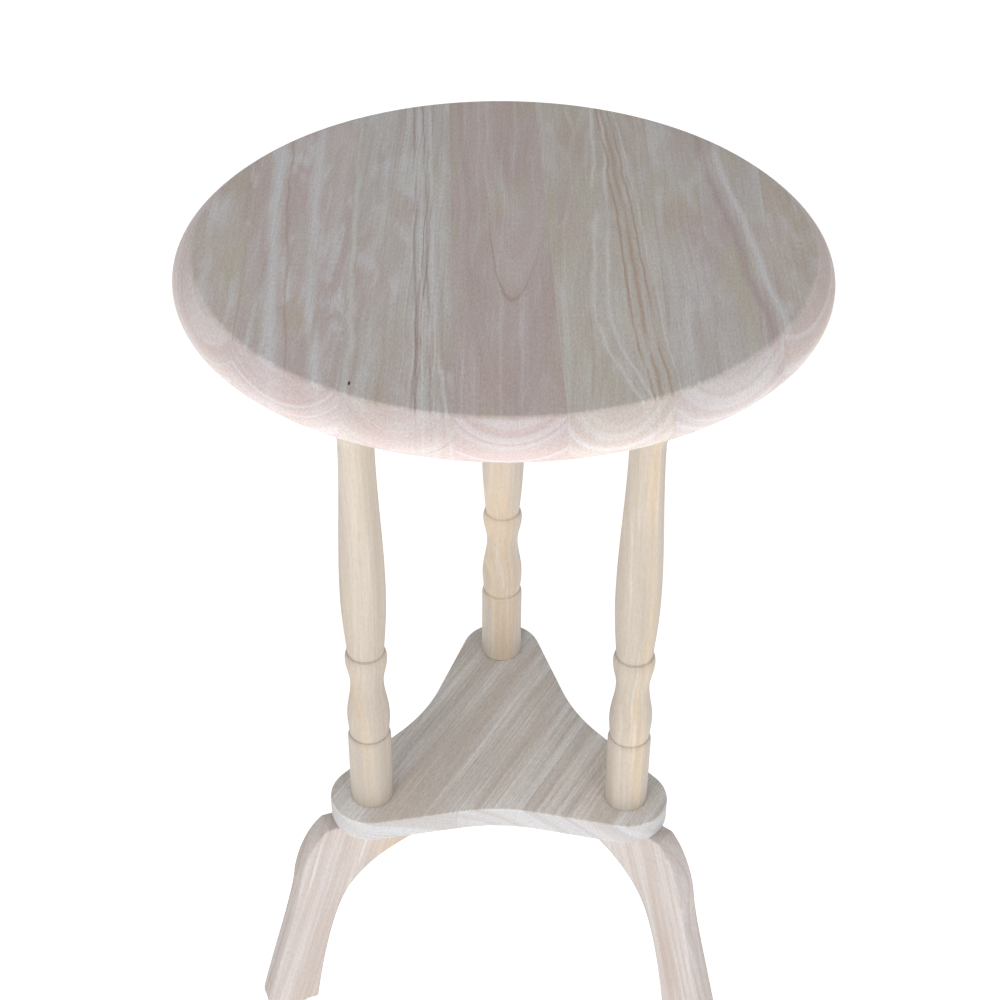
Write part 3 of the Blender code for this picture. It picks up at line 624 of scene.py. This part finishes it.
SPINDLE_TURNINGS = (
    (66.0, 17.2, "line"),
    (69.6, 16.2, "full"),
    (70.2, 14.9, "line"),
    (71.4, 15.6, "line"),
    (89.0, 16.9, "rise"),
    (124.0, 13.1, "ogee"),
    (149.0, 16.4, "ogee"),
    (154.4, 15.4, "full"),
    (155.2, 13.8, "line"),
    (156.6, 14.3, "line"),
    (215.0, 17.4, "rise"),
    (354.0, 13.2, "ogee"),
    (369.0, 16.4, "ogee"),
    (374.4, 15.4, "full"),
    (375.2, 13.9, "line"),
    (376.4, 15.4, "line"),
    (381.0, 17.2, "rise"),
)
RUN_STEPS = {"line": 6, "full": 8, "rise": 12, "ogee": 18}


def run_share(shape, u):
    if shape == "full":
        return 1 - math.cos(u * math.pi / 2)
    if shape == "rise":
        return math.sin(u * math.pi / 2)
    if shape == "ogee":
        return (1 - math.cos(u * math.pi)) / 2
    return u


def spindle_profile():
    ease = 0.5 * MM
    base_radius = 17.2 * MM
    tenon, tenon_length = TENON_RADIUS, 12 * MM
    profile = [(0, -tenon_length), (tenon, -tenon_length), (tenon, 0)]
    profile += [(base_radius - ease, 0), (base_radius, ease)]
    height, radius = ease, base_radius
    for end_mm, end_radius_mm, shape in SPINDLE_TURNINGS:
        end, end_radius = end_mm * MM, end_radius_mm * MM
        steps = RUN_STEPS[shape]
        for i in range(1, steps + 1):
            share = run_share(shape, i / steps)
            profile.append((radius + (end_radius - radius) * share, height + (end - height) * i / steps))
        height, radius = end, end_radius
    top = SPINDLE_LENGTH
    profile += [(radius, top - ease), (radius - ease, top), (tenon, top)]
    profile += [(tenon, top + tenon_length), (0, top + tenon_length)]
    return profile


def leg_outline():
    """Side view of a leg: distance outward from its lobe's centre, and height."""
    low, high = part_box("leg_rear")[0].z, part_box("leg_rear")[1].z
    p = lambda out, up: (out * MM, up * MM)
    toe, heel = (95 * MM, low), (60 * MM, low)
    knee, ankle, arch, crotch = p(68.7, 147), p(103, 16), p(25, 136), p(-23, 173)
    shoulder, inner_top, inner_low = (41 * MM, high), (-58 * MM, high), p(-58, 182)
    points = [inner_top, inner_low]
    points += bezier(inner_low, p(-50, 181), p(-35, 177.5), crotch, 12)
    points += bezier(crotch, p(-7, 166), p(10.5, 157), arch, 18)
    points += bezier(arch, p(42, 112), p(53, 50), heel, 28)
    points.append(toe)
    points += bezier(toe, p(101, 5.3), p(104.5, 9.5), ankle, 8)
    points += bezier(ankle, p(92, 60), p(72, 122), knee, 28)
    points += bezier(knee, p(66, 172), p(54, 198), shoulder, 20)
    return points


# ---------------------------------------------------------------- wooden pieces
def make_top():
    bm = bmesh.new()
    add_lathe(bm, top_profile(), 288)
    top = to_object(bm, "round_top", top_wood(), 20)
    place(top, "top", "tabletop_wood", "tabletop")


def make_spindles():
    for number, side in enumerate(SIDES):
        # Painted light: the rear spindle gets a lighter tone than the front two, to offset the shade the top casts
        # on it.
        light = (0.80, 0.715, 0.615) if side == "rear" else (0.68, 0.605, 0.517)
        mat = plain_wood(
            f"spindle_wood_{side}", along=(0, 0, 1), across=(1, 0, 0), origin=(0, 0, 0),
            pith=(60 + 25 * number, 34), light=light, dark=tuple(0.80 * v for v in light),
            seed=4.1 + 13 * number, band=5.0, contrast=1.1, pale=0.40, rise=0.01, waver=0.5,
            warm=(0.90, 0.66, 0.40), glow=0.36, coarse=0.45,
        )
        x, y = LOBES[side]
        stand = Matrix.Translation((x, y, SPINDLE_BASE))
        spindle = lathe(f"turned_post_{side}", spindle_profile(), 96, mat, stand)
        place(spindle, "base", "spindle_wood", f"spindle_{side}")


def socket(side, z_low, z_high):
    x, y = LOBES[side]
    radius = TENON_RADIUS + GAP
    profile = [(0, z_low), (radius, z_low), (radius, z_high), (0, z_high)]
    return lambda bm: add_lathe(bm, profile, 48, Matrix.Translation((x, y, 0)))


def make_shelf():
    strips = math.radians(62.5)
    along = (math.cos(strips), math.sin(strips), 0)
    mat = plain_wood(
        "shelf_wood", along=along, across=(1, 0, 0.55), origin=(0, 0, shelf_high.z),
        pith=(-420, 300), light=(0.87, 0.87, 0.87), dark=(0.65, 0.60, 0.555),
        seed=7.7, band=3.6, contrast=1.7, pale=0.65, rise=0.004, waver=0.12, joint=6.6,
        # edge: painted shade, darker and bluer, on the shelf's edge band
        edge=(0.85, 0.87, 0.905),
    )
    shelf = prism("lower_shelf", trefoil(), shelf_low.z, shelf_high.z, mat, ease=1.6 * MM)
    cut(shelf, *[socket(side, shelf_high.z - 12.3 * MM, shelf_high.z + 1 * MM) for side in SIDES])
    place(settle(shelf), "base", "shelf_wood", "shelf")


def countersink(x, y, z, up):
    """A 90-degree countersink at z that opens downwards when up is 1."""
    depth, wide, narrow = 3 * MM, 4.4 * MM, 2.3 * MM
    profile = [(0, z - up * MM), (wide + MM, z - up * MM), (wide, z), (narrow, z + up * depth)]
    profile += [(narrow, z + up * 12 * MM), (0, z + up * 12 * MM)]
    return lambda bm: add_lathe(bm, profile, 40, Matrix.Translation((x, y, 0)))


def make_upper_plate():
    mat = plain_wood(
        "upper_plate_wood", along=(1, 0.12, 0), across=(0, 1, 0.4), origin=(0, 0, plate_high.z),
        pith=(-300, 260), light=(0.70, 0.62, 0.55), dark=(0.57, 0.47, 0.39),
        seed=27.7, band=6.0, contrast=1.1, pale=0.3, rise=0.01, waver=0.3,
    )
    plate = prism("head_plate", trefoil(), plate_low.z, plate_high.z, mat, ease=1.6 * MM)
    sockets = [socket(side, plate_low.z - 1 * MM, plate_low.z + 12.3 * MM) for side in SIDES]
    sinks = [countersink(*middle(f"block_screw_{n}").to_2d(), plate_low.z, 1) for n in range(1, 5)]
    sinks += [countersink(*LOBES[side], plate_high.z, -1) for side in SIDES]
    cut(plate, *sockets, *sinks)
    place(settle(plate), "base", "shelf_wood", "upper_plate")


def make_legs():
    upright = Matrix.Rotation(math.pi / 2, 4, "X")
    half = (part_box("shelf")[1].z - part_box("shelf")[0].z) / 2
    for number, side in enumerate(SIDES):
        x, y = LOBES[side]
        out = middle(f"foot_glide_{side}").to_2d() - LOBES[side]
        turn = Matrix.Rotation(math.atan2(out.y, out.x), 4, "Z")
        mat = plain_wood(
            f"leg_wood_{side}", along=(0.30, 0, -1), across=(1, 0, 0.3), origin=(0, 0, 0),
            pith=(-30 + 22 * number, -60), light=(0.685, 0.635, 0.62), dark=(0.56, 0.475, 0.425),
            seed=3.3 + 8.1 * number, band=8.0, contrast=1.5, pale=0.70, rise=0.02, waver=0.35,
            glow=0.36, coarse=0.75,
        )
        leg = prism(f"splayed_leg_{side}", leg_outline(), -half, half, mat, upright, ease=1.6 * MM)
        settle(leg, 35)
        leg.matrix_world = Matrix.Translation((x, y, 0)) @ turn
        place(leg, "base", "leg_wood", f"leg_{side}")


ACROSS = Matrix(((0, 0, 1, 0), (1, 0, 0, 0), (0, 1, 0, 0), (0, 0, 0, 1)))  # outline (y, z), depth x


def make_block():
    mat = plain_wood(
        "block_wood", along=(1, 0, 0), across=(0, 1, 0), origin=(0, 0, 0),
        pith=(20, 640), light=(0.70, 0.61, 0.52), dark=(0.58, 0.47, 0.38),
        seed=51.7, band=5.0, contrast=1.0, pale=0.25,
    )
    radius = (block_high.z - block_low.z) / 2
    nose = arc((PIVOT.y, PIVOT.z), radius, 90, 270, 40)
    outline = nose + [(block_high.y, block_low.z), (block_high.y, block_high.z)]
    block = prism("pivot_head_block", outline, block_low.x, block_high.x, mat, ACROSS, ease=0.8 * MM)
    slot_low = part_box("catch_bolt")[0]
    bolt = bolt_section()
    room = 0.7 * MM
    side = bolt["half_width"] + room
    deep, mouth = slot_low.y - 2 * MM, block_high.y + MM
    pocket = [(-side, deep), (side, deep), (side, mouth), (-side, mouth)]
    reach = bolt["half_height"] + room
    cut(block, lambda bm: add_prism(bm, pocket, bolt["z"] - reach, bolt["z"] + reach))
    place(settle(block), "base", "batten_wood", "pivot_block")


def make_bearers():
    for number, side in enumerate(("left", "right")):
        low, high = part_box(f"bearer_{side}")
        mat = plain_wood(
            f"bearer_wood_{side}", along=(0, 1, 0), across=(1, 0, 0), origin=(0, 0, 0),
            pith=(30 - 60 * number, 600), light=(0.71, 0.62, 0.53), dark=(0.585, 0.48, 0.39),
            seed=61.7 + 5 * number, band=5.0, contrast=1.0, pale=0.25,
        )
        radius = PIVOT.z - low.z
        outline = [(low.y, high.z)] + arc((PIVOT.y, PIVOT.z), radius, 180, 270, 24)
        slope = 10 * MM
        outline += [(high.y - slope, low.z), (high.y, low.z + slope), (high.y, high.z)]
        bearer = prism(f"bearer_batten_{side}", outline, low.x, high.x, mat, ACROSS, ease=0.9 * MM)
        sinks = [countersink(*middle(f"bearer_screw_{side}_{n}").to_2d(), low.z, 1) for n in (1, 2, 3)]
        turn = Matrix.Translation((0, PIVOT.y, PIVOT.z)) @ Matrix.Rotation(math.pi / 2, 4, "Y")
        bore = [(0, low.x - MM), (2.8 * MM, low.x - MM), (2.8 * MM, high.x + MM), (0, high.x + MM)]
        cut(bearer, *sinks, lambda bm: add_lathe(bm, bore, 40, turn))
        place(settle(bearer), "top", "batten_wood", f"bearer_{side}")


# ---------------------------------------------------------------- hardware
def screw_mesh(name, head_radius, head_depth, shank, length, mat):
    """Countersunk screw along +Z, head flush at 0, with a cross recess and a turned thread."""
    ease = 0.12 * head_radius
    profile = [(0, 0), (0.3 * head_radius, 0)]
    profile += [(head_radius - ease, 0.02 * head_radius), (head_radius, ease)]
    profile += [(shank, head_depth)]
    pitch = 1.2 * shank
    start = head_depth + 0.2 * length
    z = start
    while z < length - 3 * shank:
        profile += [(0.72 * shank, z), (shank, z + 0.35 * pitch), (0.72 * shank, z + 0.7 * pitch)]
        z += pitch
    profile += [(0.6 * shank, length - 2 * shank), (0, length)]
    bm = bmesh.new()
    add_lathe(bm, profile, 32)
    obj = to_object(bm, name, mat)
    arm, wide, deep = 0.52 * head_radius, 0.13 * head_radius, 0.45 * head_depth
    for number, (a, b) in enumerate(((arm, wide), (wide, arm))):
        outline = [(-a, -b), (a, -b), (a, b), (-a, b)]
        cut(obj, lambda bm, o=outline: add_prism(bm, o, -MM, deep))
        obj.modifiers[-1].object.name = f"{name}_recess_{number}"
    return settle(obj, 30)


def copy_screw(source, name, matrix):
    obj = bpy.data.objects.new(name, source.data)
    bpy.context.scene.collection.objects.link(obj)
    obj.matrix_world = matrix
    return obj


def bolt_section():
    low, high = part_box("catch_bolt")
    channel = 4 * MM
    return {"half_width": channel, "half_height": 3 * MM, "z": (low.z + high.z) / 2}


def axis_of(node):
    """+1 or -1 along the longest axis of a screw's box, pointing away from its wide head."""
    co = [v.co for v in frame["nodes"][node].data.vertices]
    low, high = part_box(node)
    size = high - low
    axis = max(range(3), key=lambda i: size[i])
    center = (low + high) / 2
    widest = max(co, key=lambda v: sum((v[i] - center[i]) ** 2 for i in range(3) if i != axis))
    sign = 1 if widest[axis] < center[axis] else -1
    direction = Vector((0, 0, 0))
    direction[axis] = sign
    head = Vector(center)
    head[axis] = low[axis] if sign > 0 else high[axis]
    return head, direction


def turn_to(direction, spin=0.0):
    return direction.to_track_quat("Z", "Y").to_matrix().to_4x4() @ Matrix.Rotation(spin, 4, "Z")


def make_screws(steel, brass):
    """Every countersunk screw of the CAD frame, each with its recess turned its own way."""
    kinds = {
        "large": (screw_mesh("large_screw", 4 * MM, 3 * MM, 2 * MM, 40 * MM, steel), []),
        "small": (screw_mesh("small_screw", 2.6 * MM, 1.2 * MM, 1.2 * MM, 12 * MM, brass), []),
    }
    for node in sorted(frame["nodes"]):
        if node.startswith(("spindle_screw", "block_screw", "bearer_screw")):
            kinds["large"][1].append(node)
        if node.startswith(("catch_screw", "strike_screw")):
            kinds["small"][1].append(node)
    for source, nodes in kinds.values():
        for number, node in enumerate(nodes):
            head, direction = axis_of(node)
            low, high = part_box(node)
            turn = Matrix.Translation(head) @ turn_to(direction, 0.7 * number)
            screw = copy_screw(source, f"{node}_fine", turn)
            length = max(high - low)
            screw.scale.z = length / max(v.co.z for v in source.data.vertices)
            bodies = frame["record"]["behaviour"]["bodies"]
            body = next(name for name, members in bodies.items() if node in members)
            place(screw, body, "steel" if source.name.startswith("large") else "brass", node)
        bpy.data.objects.remove(source, do_unlink=True)


def make_pivots(brass):
    for side, sign in (("left", -1), ("right", 1)):
        low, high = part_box(f"pivot_screw_{side}")
        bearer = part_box(f"bearer_{side}")
        outer = bearer[1].x if sign > 0 else bearer[0].x
        face = outer + sign * GAP
        tall = abs((high.x if sign > 0 else low.x) - face)
        inner = abs(face - (low.x if sign > 0 else high.x))
        profile = [(0, -tall)] + [(5.4 * MM * math.sin(t), -tall * math.cos(t)) for t in
                                  [i * math.pi / 28 for i in range(1, 14)]]
        profile += [(5.5 * MM, -0.3 * MM), (5.5 * MM, 0), (2.5 * MM, 0)]
        profile += [(2.5 * MM, inner - 6 * MM), (0, inner)]
        turn = Matrix.Translation((face, PIVOT.y, PIVOT.z))
        turn = turn @ Matrix.Rotation(-sign * math.pi / 2, 4, "Y")
        bm = bmesh.new()
        add_lathe(bm, profile, 48)
        screw = to_object(bm, f"pivot_pin_{side}", brass, 35)
        groove = [(-6 * MM, -0.6 * MM), (6 * MM, -0.6 * MM), (6 * MM, 0.6 * MM), (-6 * MM, 0.6 * MM)]
        cut(screw, lambda bm: add_prism(bm, groove, -tall - MM, -tall + 1.5 * MM))
        settle(screw, 35)
        screw.matrix_world = turn
        place(screw, "base", "brass", f"pivot_screw_{side}")
        low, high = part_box(f"pivot_washer_{side}")
        thick = high.x - low.x
        ring = [(2.8 * MM, 0), (6.9 * MM, 0), (7 * MM, 0.1 * MM), (7 * MM, thick - 0.1 * MM)]
        ring += [(6.9 * MM, thick), (2.8 * MM, thick), (2.8 * MM, 0)]
        turn = Matrix.Translation((low.x, PIVOT.y, PIVOT.z)) @ Matrix.Rotation(math.pi / 2, 4, "Y")
        washer = lathe(f"pivot_washer_{side}_fine", ring, 64, brass, turn)
        place(washer, "base", "brass", f"pivot_washer_{side}")


def make_glides(plastic):
    for side in SIDES:
        center = middle(f"foot_glide_{side}")
        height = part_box(f"leg_{side}")[0].z - GAP
        r = 9 * MM
        profile = [(0, 0), (r - 2 * MM, 0)] + arc((r - 2 * MM, 2 * MM), 2 * MM, -90, 0, 8)
        profile += [(r, height), (2 * MM, height), (1.5 * MM, height + 12 * MM), (0, height + 12 * MM)]
        stand = Matrix.Translation((center.x, center.y, 0))
        glide = lathe(f"foot_glide_{side}_fine", profile, 64, plastic, stand)
        place(glide, "base", "glide_plastic", f"foot_glide_{side}")


def small_screw_hole(cone_depth, hole_depth, matrix):
    """The hole of a small screw, which starts at the matrix's origin and runs along its Z."""
    wide, narrow = 2.9 * MM, 1.5 * MM
    profile = [(0, -MM), (wide + MM, -MM), (wide, 0), (narrow, cone_depth)]
    profile += [(narrow, hole_depth), (0, hole_depth)]
    return lambda bm: add_lathe(bm, profile, 32, matrix)


def make_strike(brass):
    low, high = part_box("strike_plate")
    bolt = bolt_section()
    outline = []
    corner = 2 * MM
    corners = ((high.x, high.z, 0), (low.x, high.z, 90), (low.x, low.z, 180), (high.x, low.z, 270))
    for cx, cz, start in corners:
        inset = (cx - math.copysign(corner, cx), cz - math.copysign(corner, cz - bolt["z"]))
        outline += arc(inset, corner, start, start + 90, 8)
    facing = Matrix(((1, 0, 0, 0), (0, 0, 1, 0), (0, 1, 0, 0), (0, 0, 0, 1)))
    plate = prism("catch_strike", outline, low.y, high.y, brass, facing, ease=0.25 * MM)
    w, h = bolt["half_width"] + 0.4 * MM, bolt["half_height"] + 0.4 * MM
    window = [(-w, low.y - MM), (w, low.y - MM), (w, high.y + MM), (-w, high.y + MM)]
    sinks = []
    for side in ("left", "right"):
        x = middle(f"strike_screw_{side}").x
        head = Matrix.Translation((x, high.y, bolt["z"])) @ Matrix.Rotation(math.pi / 2, 4, "X")
        sinks.append(small_screw_hole(1.1 * MM, 4 * MM, head))
    cut(plate, lambda bm: add_prism(bm, window, bolt["z"] - h, bolt["z"] + h), *sinks)
    place(settle(plate), "base", "brass", "strike_plate")


def make_catch(brass, steel):
    low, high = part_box("catch_case")
    bolt = bolt_section()
    half, flange = 10 * MM, 1.5 * MM
    section = [(low.x, high.z), (low.x, high.z - flange), (-half, high.z - flange), (-half, low.z)]
    section += [(-x, z) for x, z in reversed(section)]
    along = Matrix(((1, 0, 0, 0), (0, 0, 1, 0), (0, 1, 0, 0), (0, 0, 0, 1)))
    case = prism("catch_housing", section, low.y, high.y, brass, along, ease=0.5 * MM)
    w, h = bolt["half_width"] + GAP, bolt["half_height"] + GAP
    wall = 3 * MM
    channel = [(-w, low.y - MM), (w, low.y - MM), (w, high.y - wall), (-w, high.y - wall)]
    back = Matrix.Translation((0, high.y - wall - MM, bolt["z"])) @ Matrix.Rotation(-math.pi / 2, 4, "X")
    bore = [(0, 0), (1.8 * MM, 0), (1.8 * MM, wall + 2 * MM), (0, wall + 2 * MM)]
    sinks = []
    for number in range(1, 5):
        x, y, _ = middle(f"catch_screw_{number}")
        spot = Matrix.Translation((x, y, high.z - flange))
        sinks.append(small_screw_hole(1.2 * MM, 3 * MM, spot))
    run = lambda bm: add_prism(bm, channel, bolt["z"] - h, bolt["z"] + h)
    cut(case, run, lambda bm: add_lathe(bm, bore, 32, back), *sinks)
    place(settle(case), "top", "brass", "catch_case")

    tip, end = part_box("catch_bolt")[0].y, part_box("catch_bolt")[1].y
    spring_low, spring_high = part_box("catch_spring")
    shoulder = spring_low.y - GAP
    z, hh, hw = bolt["z"], bolt["half_height"], bolt["half_width"]
    bar = [(tip, z + hh), (tip, z), (tip + 3 * MM, z - hh), (shoulder, z - hh), (shoulder, z + hh)]
    slider = prism("catch_slider", bar, -hw, hw, brass, ACROSS, ease=0.35 * MM)
    knob = end - shoulder
    stem = 1.5 * MM
    profile = [(0, -2 * MM), (stem, -2 * MM), (stem, knob - 10.6 * MM), (2.6 * MM, knob - 10.4 * MM)]
    profile += [(3.4 * MM, knob - 8.6 * MM), (2.9 * MM, knob - 7.4 * MM)]
    profile += [(2.9 * MM + 2.1 * MM * math.sin(t), knob - 4.2 * MM - 3.2 * MM * math.cos(t)) for t in
                [i * math.pi / 16 for i in range(1, 14)]]
    profile += [(1.6 * MM, knob - 0.1 * MM), (0, knob)]
    turn = Matrix.Translation((0, shoulder, z)) @ Matrix.Rotation(-math.pi / 2, 4, "X")
    cut(slider, lambda bm: add_lathe(bm, profile, 48, turn), operation="UNION")
    place(settle(slider), "catch_bolt", "brass", "catch_bolt")

    wire, coil = 0.35 * MM, (spring_high.x - spring_low.x) / 2 - 0.35 * MM
    turns, per_turn, sides = 7, 24, 10
    steps = turns * per_turn
    bm = bmesh.new()
    rings = []
    for i in range(steps + 1):
        a = 2 * math.pi * i / per_turn
        out = Vector((math.cos(a), 0, math.sin(a)))
        y = spring_low.y + wire + (spring_high.y - spring_low.y - 2 * wire) * i / steps
        hub = Vector((0, y, z)) + out * coil
        angles = [2 * math.pi * k / sides for k in range(sides)]
        ring = []
        for t in angles:
            spot = hub + out * wire * math.cos(t) + Vector((0, wire * math.sin(t), 0))
            ring.append(bm.verts.new(spot))
        rings.append(ring)
    for near, far in zip(rings, rings[1:]):
        for k in range(sides):
            j = (k + 1) % sides
            bm.faces.new((near[k], near[j], far[j], far[k]))
    bm.faces.new(rings[0])
    bm.faces.new(rings[-1])
    spring = to_object(bm, "catch_coil_spring", steel, 50)
    place(spring, "top", "steel", "catch_spring")
    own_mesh(spring)


def dress_hidden(steel, dowel_wood):
    """CAD nodes that stay: the hanger bolts and dowels inside the joints."""
    for name, obj in frame["nodes"].items():
        if name.startswith("hanger_bolt"):
            finish = steel
        elif name.startswith("leg_dowel"):
            finish = dowel_wood
        else:
            continue
        obj.data.materials.clear()
        obj.data.materials.append(finish)


# ---------------------------------------------------------------- studio
def make_floor():
    mat, _, shader, _ = new_material("studio_floor")
    shader.inputs["Base Color"].default_value = (0.93, 0.93, 0.93, 1)
    shader.inputs["Roughness"].default_value = 0.9
    shader.inputs["Specular IOR Level"].default_value = 0.1
    shader.inputs["Emission Color"].default_value = (1, 1, 1, 1)
    shader.inputs["Emission Strength"].default_value = 0.71
    half = 200.0
    bm = bmesh.new()
    corners = ((-half, -half), (half, -half), (half, half), (-half, half))
    bm.faces.new([bm.verts.new((x, y, 0)) for x, y in corners])
    floor = to_object(bm, "floor", mat)


def area_light(name, location, target, size, power, color=(1, 1, 1)):
    light = bpy.data.lights.new(name, "AREA")
    light.shape = "RECTANGLE"
    light.size, light.size_y = size
    light.energy = power
    light.color = color
    obj = bpy.data.objects.new(name, light)
    obj.location = location
    obj.rotation_euler = (Vector(target) - Vector(location)).to_track_quat("-Z", "Y").to_euler()
    bpy.context.scene.collection.objects.link(obj)


def make_lights():
    world = bpy.data.worlds.new("studio")
    world.use_nodes = True
    nodes, links = world.node_tree.nodes, world.node_tree.links
    fill = nodes["Background"]
    fill.inputs["Color"].default_value = (0.97, 0.985, 1.0, 1)
    fill.inputs["Strength"].default_value = 0.33
    white = nodes.new("ShaderNodeBackground")
    white.inputs["Color"].default_value = (1, 1, 1, 1)
    seen = nodes.new("ShaderNodeLightPath")
    chosen = nodes.new("ShaderNodeMixShader")
    links.new(seen.outputs["Is Camera Ray"], chosen.inputs[0])
    links.new(fill.outputs[0], chosen.inputs[1])
    links.new(white.outputs[0], chosen.inputs[2])
    links.new(chosen.outputs[0], nodes["World Output"].inputs["Surface"])
    bpy.context.scene.world = world
    aim = (0, 0, 0.5)
    area_light("front_left", (-1.3, -2.9, 2.35), aim, (1.6, 1.4), 43, (1.0, 0.975, 0.96))
    area_light("front_right", (1.5, -2.9, 2.05), aim, (1.4, 1.4), 25, (1.0, 0.975, 0.96))


def make_camera():
    """Frames the table from the front, looking 37 degrees down, with no shift."""
    data = bpy.data.cameras.new("camera")
    data.sensor_width = 36
    data.lens = 70.02
    camera = bpy.data.objects.new("camera", data)
    down = math.radians(37.434)
    yaw = math.radians(0.409)
    roll = math.radians(0.4466)
    camera.matrix_world = (
        Matrix.Translation((0.0070, -1.1744, TOP_Z + 0.6720))
        @ Matrix.Rotation(yaw, 4, "Z")
        @ Matrix.Rotation(math.pi / 2 - down, 4, "X")
        @ Matrix.Rotation(roll, 4, "Z")
    )
    bpy.context.scene.collection.objects.link(camera)
    bpy.context.scene.camera = camera


def main():
    bpy.context.scene.view_settings.view_transform = "Standard"
    brass = brushed_metal("satin_brass", (0.74, 0.55, 0.26), 0.30, (0, 1, 0), 0.35)
    steel = brushed_metal("zinc_steel", (0.62, 0.62, 0.64), 0.34, (0, 0, 1), 0.3)
    plastic = moulded_plastic("glide_nylon", (0.66, 0.64, 0.60))
    dowel_wood = plain_wood(
        "dowel_wood", along=(0, 0, 1), across=(1, 0, 0), origin=(0, 0, 0),
        pith=(40, 20), light=(0.74, 0.66, 0.55), dark=(0.66, 0.56, 0.45), seed=71.0, band=3.0,
    )
    make_top()
    make_spindles()
    make_shelf()
    make_upper_plate()
    make_legs()
    make_block()
    make_bearers()
    make_screws(steel, brass)
    make_pivots(brass)
    make_glides(plastic)
    make_strike(brass)
    make_catch(brass, steel)
    dress_hidden(steel, dowel_wood)
    make_floor()
    make_lights()
    make_camera()


main()
